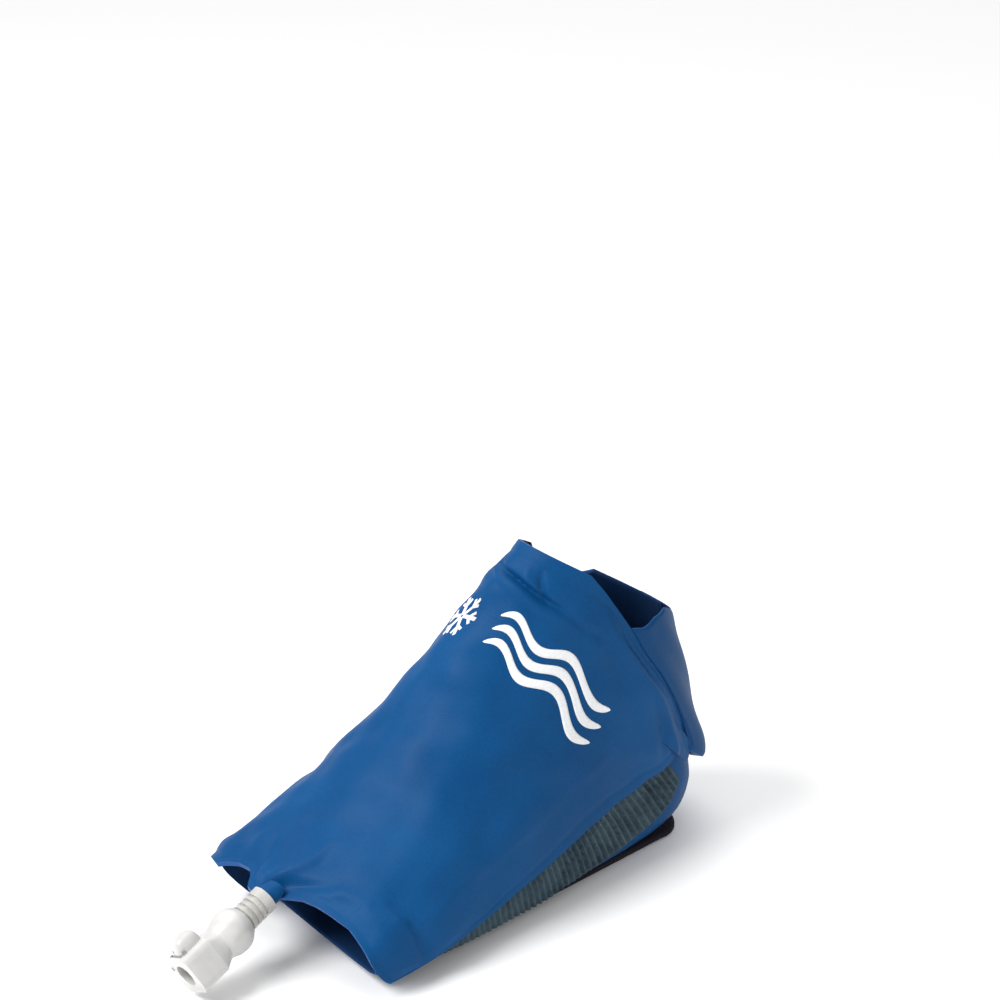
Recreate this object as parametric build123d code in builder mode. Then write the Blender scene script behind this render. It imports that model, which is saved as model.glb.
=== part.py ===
from build123d import *
import math
import os

os.makedirs("parts", exist_ok=True)

# Cold compression wrap for a left foot, in millimetres.
# +Y runs from the toes to the heel, +X to the little-toe side, +Z up; z = 0 is the floor.

# ---------------------------------------------------------------- driving dimensions
HEEL_OFFSET = 95.0            # the back of the sole lies this far behind the origin

# Wrap form, station by station from the toe edge (0) to the ankle edge (1). Each row is
# (place, (top y, top z), (bottom y, bottom z), half width on the big-toe side,
#  half width on the little-toe side, sideways shift of the ridge, roundness above, below)
STATIONS = (
    (-0.08, (-206, 24), (-200, 0), 45, 53, -13, 2.3, 5.2),
    (0.00, (-193, 31), (-182, 0), 46, 55, -13, 2.2, 5.0),
    (0.15, (-168, 45), (-152, 0), 45, 55, -14, 2.1, 4.6),
    (0.30, (-145, 62), (-116, 0), 43, 52, -14, 2.0, 4.2),
    (0.45, (-125, 81), (-76, 0), 39, 48, -12, 2.0, 3.8),
    (0.60, (-109, 101), (-32, 0), 36, 43, -9, 2.0, 3.2),
    (0.72, (-97, 116), (3, 9), 33, 39, -6, 2.0, 2.6),
    (0.84, (-86, 130), (10, 44), 29, 36, -3, 2.0, 2.2),
    (1.00, (-74, 145), (-3, 98), 22, 32, 0, 2.0, 2.0),
)

# Layers, as depths below the outer surface
PLY = 0.8                     # coated nylon
BLADDER = 5.0                 # both plies and the water between them
FLAP = 4.2                    # the thinner chamber in the side flap
HOOK = 0.8                    # hook tape
GAP = 0.8                     # room between layers that move apart
LOOP_PAD = 2.0                # ribbed loop pad
SOLE_FLAP = 1.2
WING = 1.6
STRAP_T = 2.4                 # sole strap
STRAP_CLEAR = 1.0             # sole flap above the strap

# Places along the wrap
TOE_EDGE = -0.01
SIDE_END = 0.76               # the side flap ends here and the heel wings begin
ANKLE_EDGE = 1.0
BORDER = 0.03                 # welded border at the toe and ankle edges, as a share of length

# Angles round a section: 0 is the ridge, +90 the little-toe side, 180 the sole or heel
MEDIAL_EDGE = -150
HINGE_GAP = 3.0               # half the soft crease at each fold, in degrees
SIDE_TUCK = 0.3               # how much of its depth the side flap keeps near the sole
BOND = 0.1                    # glue line between bonded layers
FINE_STEPS = 120

# Fold line of the side flap
SIDE_HINGE = ((32.3, -96.2, 25.9), (33.0, 34.1, 82.0))

# Hose coupling: its axis leaves the spout at SPOUT and falls towards the floor
SPOUT = Vector(-1.5, -104.2, 27.5)
COUPLING_AXIS = Vector(7.65, -44.8, -16.5).normalized()
BUTTON_ROLL = 30              # the thumb button leans this far to the big-toe side
NECK_ROOM = 0.3               # gap each side of the neck's bend
COLLAR_END = 13.0             # distances along the axis from the spout
NUT_END = 26.5
BODY_END = 44.5
PLATE_START = 40.6
PLATE_T = 1.2
TUBE_R = 3.2
TUBE_BORE_R = 2.2
COLLAR_R = 5.8
NUT_R = 9.0
WAIST_R = 7.6
BLOCK_X = 16.6                # along the button's direction
BLOCK_Y = 17.6
SOCKET_R = 4.8                # bore that takes the hose end's insert
SOCKET_START = 31.5
SEAL_START = 30.0
SEAL_R = 4.6
LATCH_TRAVEL = 2.2


# ---------------------------------------------------------------- form of the wrap
def station(place):
    """The station's nine numbers at any place, by a smooth curve through the table."""
    rows = [(s[0], *s[1], *s[2], *s[3:]) for s in STATIONS]
    last = len(rows) - 1
    i = max(k for k in range(last) if rows[k][0] <= place or k == 0)
    a, b = rows[i], rows[i + 1]
    span = b[0] - a[0]
    t = (place - a[0]) / span

    def slope(k, col):
        lo, hi = rows[max(k - 1, 0)], rows[min(k + 1, last)]
        return (hi[col] - lo[col]) / (hi[0] - lo[0])

    values = []
    for col in range(1, len(a)):
        m0, m1 = slope(i, col) * span, slope(i + 1, col) * span
        values.append(
            (2 * t**3 - 3 * t**2 + 1) * a[col] + (t**3 - 2 * t**2 + t) * m0
            + (-2 * t**3 + 3 * t**2) * b[col] + (t**3 - t**2) * m1
        )
    return values


def section_frame(place):
    """Centre (y, z), half height and up direction (y, z) of the section at a place."""
    top_y, top_z, low_y, low_z = station(place)[:4]
    up_y, up_z = top_y - low_y, top_z - low_z
    height = math.hypot(up_y, up_z)
    centre = ((top_y + low_y) / 2 + HEEL_OFFSET, (top_z + low_z) / 2)
    return centre, height / 2, (up_y / height, up_z / height)


def section_plane(place):
    """Plane of the section: local x is the row's x, local y runs up to the ridge."""
    (y, z), _, (up_y, up_z) = section_frame(place)
    return Plane(origin=(0, y, z), x_dir=(1, 0, 0), z_dir=(0, -up_z, up_y))


def outline(place, angle, layer):
    """Point on the section, in the section plane. A layer is its depth below the outer
    surface at the top and sides, and its depth at the sole."""
    depth, low_depth = layer
    medial, lateral, shift, round_up, round_low = station(place)[4:]
    half = section_frame(place)[1]
    s, c = math.sin(math.radians(angle)), math.cos(math.radians(angle))
    width = (medial if s < 0 else lateral) - depth
    power = round_up if c >= 0 else round_low
    a = math.copysign(abs(s) ** (2 / power), s)
    b = math.copysign(abs(c) ** (2 / power), c)
    height = half - (depth if c >= 0 else low_depth)
    return width * a + shift * (1 + b) / 2, height * b


def angle_at_line(place, line):
    """Angle at which a fold line, seen from the side, crosses the section."""
    (y, z), half, (up_y, up_z) = section_frame(place)
    (_, ay, az), (_, by, bz) = line
    run = -(by - ay) * up_z + (bz - az) * up_y
    t = ((ay - y) * up_z - (az - z) * up_y) / run
    n = (ay + t * (by - ay) - y) * up_y + (az + t * (bz - az) - z) * up_z
    b = max(-1.0, min(1.0, n / half))
    power = station(place)[7] if b >= 0 else station(place)[8]
    return math.degrees(math.acos(math.copysign(abs(b) ** (power / 2), b)))


def spread_angles(place, start, end, count):
    """Angles that are evenly spaced by distance along the outer surface."""
    fine = [start + (end - start) * i / FINE_STEPS for i in range(FINE_STEPS + 1)]
    points = [outline(place, v, (0, 0)) for v in fine]
    run = [0.0]
    for p, q in zip(points, points[1:]):
        run.append(run[-1] + math.dist(p, q))
    targets = [run[-1] * i / (count - 1) for i in range(count)]
    return [between(t, list(zip(run, fine))) for t in targets]


def band(place, start, end, outer, inner, count=9):
    """Closed strip of the section from angle start to end, between two layers."""
    angles = spread_angles(place, start, end, count)
    outside = [outline(place, v, outer) for v in angles]
    inside = [outline(place, v, inner) for v in reversed(angles)]
    steps = [i / (count - 1) for i in range(count)]
    with BuildSketch(section_plane(place)) as strip:
        with BuildLine():
            add(Edge.make_spline([Vector(*p) for p in outside], parameters=steps))
            Line(outside[-1], inside[0])
            add(Edge.make_spline([Vector(*p) for p in inside], parameters=steps))
            Line(inside[-1], outside[0])
        make_face()
    return strip.sketch


def panel(edges, outer, inner, count=9):
    """Sections of a panel. Edges are (place, start angle, end angle), one per section."""
    return [band(place, start, end, outer, inner, count) for place, start, end in edges]


def even(depth):
    """Layer at one depth all round."""
    return depth, depth


def tucked(depth):
    """Layer of the side flap, which thins towards the sole."""
    return depth, depth * SIDE_TUCK


def places(first, last, count):
    """Evenly spaced places along the wrap, both ends included."""
    return [first + (last - first) * i / (count - 1) for i in range(count)]


def between(place, table):
    """Value at a place on a line of straight runs through (place, value) pairs."""
    for (p0, v0), (p1, v1) in zip(table, table[1:]):
        if place <= p1:
            return v0 + (v1 - v0) * max(0.0, (place - p0) / (p1 - p0))
    return table[-1][1]


# Edges of the panels, as angles at places along the wrap
def side_fold(place):
    return angle_at_line(place, SIDE_HINGE)


def skirt_edge(place):
    """Lower edge of the side flap."""
    return between(place, ((0.0, 112), (0.13, 110), (0.25, 105), (0.45, 100), (0.76, 112)))


def pad_top(place):
    return skirt_edge(place) - 14


def pad_edge(place):
    return between(place, ((0.0, 140), (0.13, 134), (0.45, 127), (0.76, 124)))


def wing_front(place):
    """Front edge of a heel wing: its fold up to the notch, then the wing's own edge."""
    return between(place, ((0.76, 151), (0.81, 130), (0.863, 108), (0.92, 90),
                           (0.96, 101), (1.0, 118)))


def dorsal_edge(place):
    """Edge of the rear bladder beside a heel wing: up the weld line, the notch, the top edge."""
    return between(place, ((0.76, 145), (0.81, 122), (0.863, 100), (0.92, 82),
                           (0.96, 71), (1.0, 52)))


# ---------------------------------------------------------------- bladder, front panel
def front_edges(first, last, count):
    return [(u, MEDIAL_EDGE, side_fold(u) - HINGE_GAP) for u in places(first, last, count)]


def rear_edges(first, last, count):
    return [(u, -dorsal_edge(u), dorsal_edge(u)) for u in places(first, last, count)]


INNER = BLADDER - PLY
WELD_GAP = 0.6                # the welded borders stop this far above the inner ply
WIDE = 19                     # points along a section that goes most of the way round
FRONT_STOP = SIDE_END - 0.002

with BuildPart() as bladder_outer_ply:
    add(panel(front_edges(TOE_EDGE, FRONT_STOP, 9), even(0), even(PLY), WIDE))
    loft()
    add(panel(rear_edges(SIDE_END, ANKLE_EDGE, 7), even(0), even(PLY), WIDE))
    loft()
    # welded borders, where the two plies are joined
    toe_border = front_edges(TOE_EDGE, TOE_EDGE + BORDER, 3)
    add(panel(toe_border, even(PLY + BOND), even(INNER - WELD_GAP), WIDE))
    loft()
    ankle_border = rear_edges(ANKLE_EDGE - BORDER, ANKLE_EDGE, 3)
    add(panel(ankle_border, even(PLY + BOND), even(INNER - WELD_GAP), WIDE))
    loft()
bladder_outer_ply.part.label = "bladder_outer_ply"
export_step(bladder_outer_ply.part, "parts/bladder_outer_ply.step")

with BuildPart() as bladder_inner_ply:
    add(panel(front_edges(TOE_EDGE, FRONT_STOP, 9), even(INNER), even(BLADDER), WIDE))
    loft()
    add(panel(rear_edges(SIDE_END, ANKLE_EDGE, 7), even(INNER), even(BLADDER), WIDE))
    loft()
bladder_inner_ply.part.label = "bladder_inner_ply"
export_step(bladder_inner_ply.part, "parts/bladder_inner_ply.step")


# ---------------------------------------------------------------- side flap
def side_edges(first, last, count, above_skirt=None):
    """The side flap, or only its lowest strip of that height in degrees."""
    rows = []
    for u in places(first, last, count):
        low = skirt_edge(u)
        rows.append((u, low - above_skirt if above_skirt else side_fold(u) + HINGE_GAP, low))
    return rows


SIDE_STOP = SIDE_END - 0.02
with BuildPart() as side_flap_outer_ply:
    add(panel(side_edges(TOE_EDGE, SIDE_STOP, 8), tucked(0), tucked(PLY)))
    loft()
    # welded lower edge
    add(panel(side_edges(TOE_EDGE, SIDE_STOP, 8, 4), tucked(PLY / 2),
              tucked(FLAP - PLY - BOND), 3))
    loft()
side_flap_outer_ply.part.label = "side_flap_outer_ply"
export_step(side_flap_outer_ply.part, "parts/side_flap_outer_ply.step")

with BuildPart() as side_flap_inner_ply:
    add(panel(side_edges(TOE_EDGE, SIDE_STOP, 8), tucked(FLAP - PLY), tucked(FLAP)))
    loft()
side_flap_inner_ply.part.label = "side_flap_inner_ply"
export_step(side_flap_inner_ply.part, "parts/side_flap_inner_ply.step")

with BuildPart() as side_flap_hook:
    add(panel(side_edges(0.10, 0.70, 7, 12), tucked(FLAP + BOND), tucked(FLAP + HOOK - BOND), 5))
    loft()
side_flap_hook.part.label = "side_flap_hook"
export_step(side_flap_hook.part, "parts/side_flap_hook.step")

# ---------------------------------------------------------------- sole flap and its pad
PAD_DEPTH = FLAP + HOOK + GAP
FLAP_DEPTH = PAD_DEPTH + LOOP_PAD
SOLE_EDGE = 360 + MEDIAL_EDGE - 2 * HINGE_GAP


def over_strap(place, extra):
    """Depth at the sole that keeps a layer the given amount above the strap."""
    return (STRAP_T + STRAP_CLEAR + extra) / section_frame(place)[2][1]


SOLE_POINTS = 33
with BuildPart() as sole_flap:
    for u in places(0.03, 0.73, 8):
        add(band(u, pad_top(u) - 3, SOLE_EDGE, (FLAP_DEPTH, over_strap(u, 0)),
                 (FLAP_DEPTH + SOLE_FLAP, over_strap(u, SOLE_FLAP)), SOLE_POINTS))
    loft()
sole_flap.part.label = "sole_flap"
export_step(sole_flap.part, "parts/sole_flap.step")

PAD_BOND = 0.4                # sewn layers meet through the stitching only
with BuildPart() as side_loop_pad:
    for u in places(0.08, 0.73, 8):
        add(band(u, pad_top(u), pad_edge(u), (PAD_DEPTH, over_strap(u, -LOOP_PAD)),
                 (FLAP_DEPTH - PAD_BOND, over_strap(u, -PAD_BOND)), 9))
    loft()
side_loop_pad.part.label = "side_loop_pad"
export_step(side_loop_pad.part, "parts/side_loop_pad.step")

# ---------------------------------------------------------------- sole strap and its tail
STRAP_FRONT = -76.0
STRAP_REAR = 44.0
TAIL_END = 91.0
TAIL_SHOULDER = 76.0
FRONT_HALF, REAR_HALF = 34.0, 24.0
FRONT_X, REAR_X = 5.0, 4.0

with BuildPart() as sole_strap:
    with BuildSketch(Plane.XY):
        with BuildLine():
            Polyline(
                (FRONT_X - FRONT_HALF, STRAP_FRONT),
                (FRONT_X + FRONT_HALF, STRAP_FRONT),
                (REAR_X + REAR_HALF, STRAP_REAR),
                (REAR_X - REAR_HALF, STRAP_REAR),
                close=True,
            )
        make_face()
    extrude(amount=STRAP_T)
    fillet(sole_strap.edges().filter_by(Axis.Z).group_by(Axis.Y)[0], radius=10)
sole_strap.part.label = "sole_strap"
export_step(sole_strap.part, "parts/sole_strap.step")

with BuildPart() as strap_tail:
    with BuildSketch(Plane.XY):
        with BuildLine():
            tail_left = Line((REAR_X - REAR_HALF, STRAP_REAR + 1),
                             (REAR_X - REAR_HALF + 3, TAIL_SHOULDER))
            tail_round = ThreePointArc(tail_left @ 1, (REAR_X, TAIL_END),
                                       (REAR_X + REAR_HALF - 3, TAIL_SHOULDER))
            tail_right = Line(tail_round @ 1, (REAR_X + REAR_HALF, STRAP_REAR + 1))
            Line(tail_right @ 1, tail_left @ 0)
        make_face()
    extrude(amount=STRAP_T)
strap_tail.part.label = "strap_tail"
export_step(strap_tail.part, "parts/strap_tail.step")

# ---------------------------------------------------------------- heel wings
WING_PLACES = places(SIDE_END + 0.015, ANKLE_EDGE, 8)
OVERLAP = 18                  # each wing passes the heel's middle by this angle
INNER_WING = WING + HOOK + GAP + HOOK

with BuildPart() as lateral_heel_wing:
    lateral_edges = [(u, wing_front(u), 180 + OVERLAP) for u in WING_PLACES]
    add(panel(lateral_edges, even(0), even(WING)))
    loft()
lateral_heel_wing.part.label = "lateral_heel_wing"
export_step(lateral_heel_wing.part, "parts/lateral_heel_wing.step")

with BuildPart() as lateral_wing_hook:
    hook_edges = [(u, 182 - OVERLAP, 177 + OVERLAP) for u in places(0.80, 0.97, 4)]
    add(panel(hook_edges, even(WING + 3 * BOND), even(WING + HOOK), 5))
    loft()
lateral_wing_hook.part.label = "lateral_wing_hook"
export_step(lateral_wing_hook.part, "parts/lateral_wing_hook.step")

with BuildPart() as medial_heel_wing:
    medial_edges = [(u, -wing_front(u), -180 - OVERLAP) for u in WING_PLACES]
    add(panel(medial_edges, even(INNER_WING), even(INNER_WING + WING)))
    loft()
medial_heel_wing.part.label = "medial_heel_wing"
export_step(medial_heel_wing.part, "parts/medial_heel_wing.step")

with BuildPart() as medial_wing_loop:
    loop_edges = [(u, -177 - OVERLAP, -174 + OVERLAP) for u in places(0.80, 0.97, 4)]
    add(panel(loop_edges, even(INNER_WING - HOOK), even(INNER_WING - BOND), 5))
    loft()
medial_wing_loop.part.label = "medial_wing_loop"
export_step(medial_wing_loop.part, "parts/medial_wing_loop.step")

# ---------------------------------------------------------------- hose coupling
coupling_line = Axis(SPOUT, COUPLING_AXIS)
straight_up = (Vector(0, 0, 1) - COUPLING_AXIS * COUPLING_AXIS.Z).normalized()
button_up = straight_up.rotate(Axis((0, 0, 0), COUPLING_AXIS), BUTTON_ROLL)
axial = Plane(origin=SPOUT, x_dir=button_up, z_dir=button_up.cross(COUPLING_AXIS))


def across(distance):
    """Plane across the coupling, at a distance along its axis, x towards the button."""
    return Plane(origin=SPOUT + COUPLING_AXIS * distance, x_dir=button_up,
                 z_dir=COUPLING_AXIS)


def ring_profile(inner, outer, start, end):
    """Half section of a ring round the coupling's axis."""
    with BuildSketch(axial) as ring:
        with Locations(((inner + outer) / 2, (start + end) / 2)):
            Rectangle(outer - inner, end - start)
    return ring.sketch


with BuildPart() as spout_sleeve:
    add(ring_profile(TUBE_R, TUBE_R + 0.9, -3.5, -NECK_ROOM))
    revolve(axis=coupling_line)
spout_sleeve.part.label = "spout_sleeve"
export_step(spout_sleeve.part, "parts/spout_sleeve.step")

with BuildPart() as inlet_tube:
    add(ring_profile(TUBE_BORE_R, TUBE_R, -3.5, -NECK_ROOM))
    revolve(axis=coupling_line)
inlet_tube.part.label = "inlet_tube"
export_step(inlet_tube.part, "parts/inlet_tube.step")

SOCKET_RIM = 3.0              # depth of the collar's open mouth, where the neck bends
RING_PITCH = 2.6

with BuildPart() as clamp_collar:
    with BuildSketch(axial):
        with Locations(((TUBE_R + COLLAR_R - 0.8) / 2, (SOCKET_RIM + COLLAR_END) / 2)):
            Rectangle(COLLAR_R - 0.8 - TUBE_R, COLLAR_END - SOCKET_RIM)
        with Locations((COLLAR_R - 0.45, (NECK_ROOM + COLLAR_END) / 2 - 4.9)):
            Rectangle(0.9, SOCKET_RIM - NECK_ROOM + 0.2)
        for i in range(4):
            with Locations((COLLAR_R - 0.7, 2.7 + 1.0 + i * RING_PITCH)):
                Rectangle(1.4, 1.4)
    revolve(axis=coupling_line)
clamp_collar.part.label = "clamp_collar"
export_step(clamp_collar.part, "parts/clamp_collar.step")

STEM_END = 19.0
with BuildPart() as coupling_stem:
    with BuildSketch(axial):
        with Locations(((TUBE_BORE_R + TUBE_R) / 2, (SOCKET_RIM + STEM_END) / 2)):
            Rectangle(TUBE_R - TUBE_BORE_R, STEM_END - SOCKET_RIM)
        with Locations(((TUBE_R + 6.0) / 2, STEM_END - 1.0)):
            Rectangle(6.0 - TUBE_R, 2.0)
    revolve(axis=coupling_line)
coupling_stem.part.label = "coupling_stem"
export_step(coupling_stem.part, "parts/coupling_stem.step")

NUT_WALL = 1.8
FLAT_R = 8.2                  # distance from the axis to the nut's two gripping flats
with BuildPart() as union_nut:
    with BuildSketch(axial):
        with BuildLine():
            nut_front = Line((TUBE_R + 0.05, COLLAR_END), (6.4, COLLAR_END))
            nut_swell = ThreePointArc(nut_front @ 1, (NUT_R, 18.5), (NUT_R - 0.6, 24.0))
            nut_taper = Line(nut_swell @ 1, (WAIST_R + 0.2, NUT_END))
            nut_lip = Line(nut_taper @ 1, (6.2, NUT_END))
            nut_bore = Line(nut_lip @ 1, (6.2, STEM_END - 2.0))
            nut_floor = Line(nut_bore @ 1, (TUBE_R + 0.05, STEM_END - 2.0))
            Line(nut_floor @ 1, nut_front @ 0)
        make_face()
    revolve(axis=coupling_line)
    with BuildSketch(across(COLLAR_END - 1)):
        for side in (-1, 1):
            with Locations((0, side * (FLAT_R + 5))):
                Rectangle(24, 10)
    extrude(amount=NUT_END - COLLAR_END + 2, mode=Mode.SUBTRACT)
union_nut.part.label = "union_nut"
export_step(union_nut.part, "parts/union_nut.step")

BLOCK_START = 32.0
SPRING_PLACE = 36.6           # the button's spring stands here, across the axis
SPRING_LOW = 5.5
SPRING_POCKET_R = 2.1
CHAMBER_R = 4.2               # valve chamber behind the socket
with BuildPart() as coupling_body:
    with BuildSketch(across(STEM_END)):
        Circle(6.15)
    extrude(amount=NUT_END - STEM_END)
    with BuildSketch(across(NUT_END)):
        Circle(WAIST_R)
    with BuildSketch(across(BLOCK_START)):
        RectangleRounded(BLOCK_X, BLOCK_Y, 3.5)
    loft()
    with BuildSketch(across(BLOCK_START)):
        RectangleRounded(BLOCK_X, BLOCK_Y, 3.5)
    extrude(amount=BODY_END - BLOCK_START)
    with BuildSketch(across(STEM_END)):
        Circle(CHAMBER_R)
    extrude(amount=SEAL_START - STEM_END, mode=Mode.SUBTRACT)
    with BuildSketch(across(SEAL_START)):
        Circle(SEAL_R)
    extrude(amount=SOCKET_START - SEAL_START, mode=Mode.SUBTRACT)
    with BuildSketch(across(SOCKET_START)):
        Circle(SOCKET_R)
    extrude(amount=BODY_END - SOCKET_START, mode=Mode.SUBTRACT)
    # slot that the latch plate slides in, open at the top
    with BuildSketch(across(PLATE_START - 0.1)):
        with Locations((1.4, 0)):
            Rectangle(BLOCK_X, 12.2)
    extrude(amount=PLATE_T + 0.2, mode=Mode.SUBTRACT)
    # recess under the thumb button
    with BuildSketch(across(BLOCK_START + 1.4)):
        with Locations((BLOCK_X / 2, 0)):
            Rectangle(2.4, 10.6)
    extrude(amount=PLATE_START + PLATE_T - BLOCK_START + 0.2, mode=Mode.SUBTRACT)
    # pocket for the button's spring
    with BuildSketch(Plane(SPOUT + COUPLING_AXIS * SPRING_PLACE + button_up * SPRING_LOW,
                           z_dir=button_up)):
        Circle(SPRING_POCKET_R)
    extrude(amount=3.0, mode=Mode.SUBTRACT)
    # hole for the latch pin
    with BuildSketch(across(PLATE_START + PLATE_T)):
        with Locations((3.2, BLOCK_Y / 2 - 1.6)):
            Circle(0.8)
    extrude(amount=BODY_END - PLATE_START - PLATE_T, mode=Mode.SUBTRACT)
coupling_body.part.label = "coupling_body"
export_step(coupling_body.part, "parts/coupling_body.step")

with BuildPart() as latch_pin:
    with BuildSketch(across(PLATE_START + PLATE_T + 0.2)):
        with Locations((3.2, BLOCK_Y / 2 - 1.6)):
            Circle(0.8)
    extrude(amount=BODY_END - PLATE_START - PLATE_T)
latch_pin.part.label = "latch_pin"
export_step(latch_pin.part, "parts/latch_pin.step")

PLATE_LOW = -4.4              # the plate's edges, measured from the axis towards the button
PLATE_TOP = BLOCK_X / 2 + 1.8
with BuildPart() as latch_plate:
    with BuildSketch(across(PLATE_START)):
        with Locations(((PLATE_LOW + PLATE_TOP) / 2, 0)):
            Rectangle(PLATE_TOP - PLATE_LOW, 12.0)
        with Locations((LATCH_TRAVEL / 2, 0)):
            SlotCenterToCenter(LATCH_TRAVEL, 2 * SOCKET_R + 0.4, mode=Mode.SUBTRACT)
        with Locations((PLATE_LOW + 0.6, 0)):
            Rectangle(3.0, 8.6, mode=Mode.SUBTRACT)
    extrude(amount=PLATE_T)
latch_plate.part.label = "latch_plate"
export_step(latch_plate.part, "parts/latch_plate.step")

BUTTON_W = 10.0
with BuildPart() as thumb_button:
    with BuildSketch(axial):
        with BuildLine():
            button_sole = Line((PLATE_TOP, PLATE_START + PLATE_T), (PLATE_TOP, BLOCK_START + 1.6))
            button_back = Line(button_sole @ 1, (PLATE_TOP + 2.6, BLOCK_START + 1.9))
            button_dome = ThreePointArc(button_back @ 1, (PLATE_TOP + 4.4, BLOCK_START + 5.8),
                                        (PLATE_TOP + 3.4, PLATE_START + PLATE_T))
            Line(button_dome @ 1, button_sole @ 0)
        make_face()
    extrude(amount=BUTTON_W / 2, both=True)
    fillet(thumb_button.faces().sort_by(Axis(SPOUT, button_up))[-1].edges(), radius=1.0)
thumb_button.part.label = "thumb_button"
export_step(thumb_button.part, "parts/thumb_button.step")

with BuildPart() as latch_spring:
    # three turns, drawn at their shut length
    for i in range(3):
        with BuildSketch(axial):
            with Locations((SPRING_LOW + 0.35 + i * 0.62, SPRING_PLACE + 1.5)):
                Circle(0.28)
        revolve(axis=Axis(SPOUT + COUPLING_AXIS * SPRING_PLACE, button_up))
latch_spring.part.label = "latch_spring"
export_step(latch_spring.part, "parts/latch_spring.step")

# Shut-off valve inside: a poppet that the hose end's insert pushes back
SEAT_START = 27.0
with BuildPart() as valve_seat:
    add(ring_profile(2.6, CHAMBER_R, SEAT_START, SEAL_START))
    revolve(axis=coupling_line)
valve_seat.part.label = "valve_seat"
export_step(valve_seat.part, "parts/valve_seat.step")

POPPET_R = 3.4
SEAL_T = 0.5
with BuildPart() as valve_poppet:
    with BuildSketch(across(SEAT_START - 2.0)):
        Circle(POPPET_R)
    extrude(amount=1.45)
    with BuildSketch(across(SEAT_START - 1.0)):
        Circle(1.3)
    extrude(amount=SOCKET_START - SEAT_START + 0.8)
    with BuildSketch(across(SEAT_START - 2.0)):
        Circle(1.2)
    extrude(amount=-2.5)
valve_poppet.part.label = "valve_poppet"
export_step(valve_poppet.part, "parts/valve_poppet.step")

with BuildPart() as poppet_seal:
    add(ring_profile(1.35, POPPET_R, SEAT_START - 0.05 - SEAL_T, SEAT_START - 0.05))
    revolve(axis=coupling_line)
poppet_seal.part.label = "poppet_seal"
export_step(poppet_seal.part, "parts/poppet_seal.step")

with BuildPart() as valve_spring:
    # four turns round the poppet's tail, drawn at their shut length
    for i in range(4):
        with BuildSketch(axial):
            with Locations((2.2, STEM_END + 0.35 + i * 0.62)):
                Circle(0.3)
        revolve(axis=coupling_line)
valve_spring.part.label = "valve_spring"
export_step(valve_spring.part, "parts/valve_spring.step")

with BuildPart() as socket_seal:
    with BuildSketch(axial):
        with Locations((SEAL_R - 0.62, (SEAL_START + SOCKET_START) / 2)):
            Circle(0.6)
    revolve(axis=coupling_line)
socket_seal.part.label = "socket_seal"
export_step(socket_seal.part, "parts/socket_seal.step")
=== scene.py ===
import math

import bpy
import numpy as np
from mathutils import Matrix, Vector


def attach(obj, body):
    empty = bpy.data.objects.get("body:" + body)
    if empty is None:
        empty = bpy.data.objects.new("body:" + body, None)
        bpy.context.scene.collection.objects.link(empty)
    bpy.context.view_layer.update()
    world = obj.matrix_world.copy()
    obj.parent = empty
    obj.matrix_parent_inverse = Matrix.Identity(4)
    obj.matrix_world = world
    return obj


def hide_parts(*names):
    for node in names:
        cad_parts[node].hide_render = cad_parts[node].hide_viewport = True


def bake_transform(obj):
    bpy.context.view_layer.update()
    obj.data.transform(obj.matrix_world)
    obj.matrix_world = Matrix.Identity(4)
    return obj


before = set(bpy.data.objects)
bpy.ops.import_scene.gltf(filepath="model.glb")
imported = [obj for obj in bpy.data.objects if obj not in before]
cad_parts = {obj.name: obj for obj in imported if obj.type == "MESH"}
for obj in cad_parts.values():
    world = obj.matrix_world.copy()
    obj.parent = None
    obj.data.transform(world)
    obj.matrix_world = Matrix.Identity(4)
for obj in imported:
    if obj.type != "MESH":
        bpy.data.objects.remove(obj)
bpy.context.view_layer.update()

MM = 0.001
HEEL_OFFSET = 95.0            # mm, as in part.py: the back of the sole from the origin

# ---------------------------------------------------------------- form of the wrap
# place, top y, top z, bottom y, bottom z, half width on the big-toe side and on the
# little-toe side, sideways shift of the ridge, roundness above and below; all in mm
STATIONS = np.array((
    (-0.08, -206, 24, -200, 0, 45, 53, -13, 2.3, 5.2),
    (0.00, -193, 31, -182, 0, 46, 55, -13, 2.2, 5.0),
    (0.15, -168, 45, -152, 0, 45, 55, -14, 2.1, 4.6),
    (0.30, -145, 62, -116, 0, 43, 52, -14, 2.0, 4.2),
    (0.45, -125, 81, -76, 0, 39, 48, -12, 2.0, 3.8),
    (0.60, -109, 101, -32, 0, 36, 43, -9, 2.0, 3.2),
    (0.72, -97, 116, 3, 9, 33, 39, -6, 2.0, 2.6),
    (0.84, -86, 130, 10, 44, 29, 36, -3, 2.0, 2.2),
    (1.00, -74, 145, -3, 98, 22, 32, 0, 2.0, 2.0),
))
LENGTH = 190.0                # mm from toe edge to ankle edge, along the side
PER_DEGREE = 0.75             # mm round the section for one degree
BLADDER = 5.0                 # mm, both plies and the water between them
FLAP = 4.2
WELD = 1.6                    # how far each face pulls in towards a welded edge
SLIT = 0.755                  # the side flap ends here
MEDIAL_EDGE = -150.0
SIDE_HINGE = ((32.3, -96.2, 25.9), (33.0, 34.1, 82.0))


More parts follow.
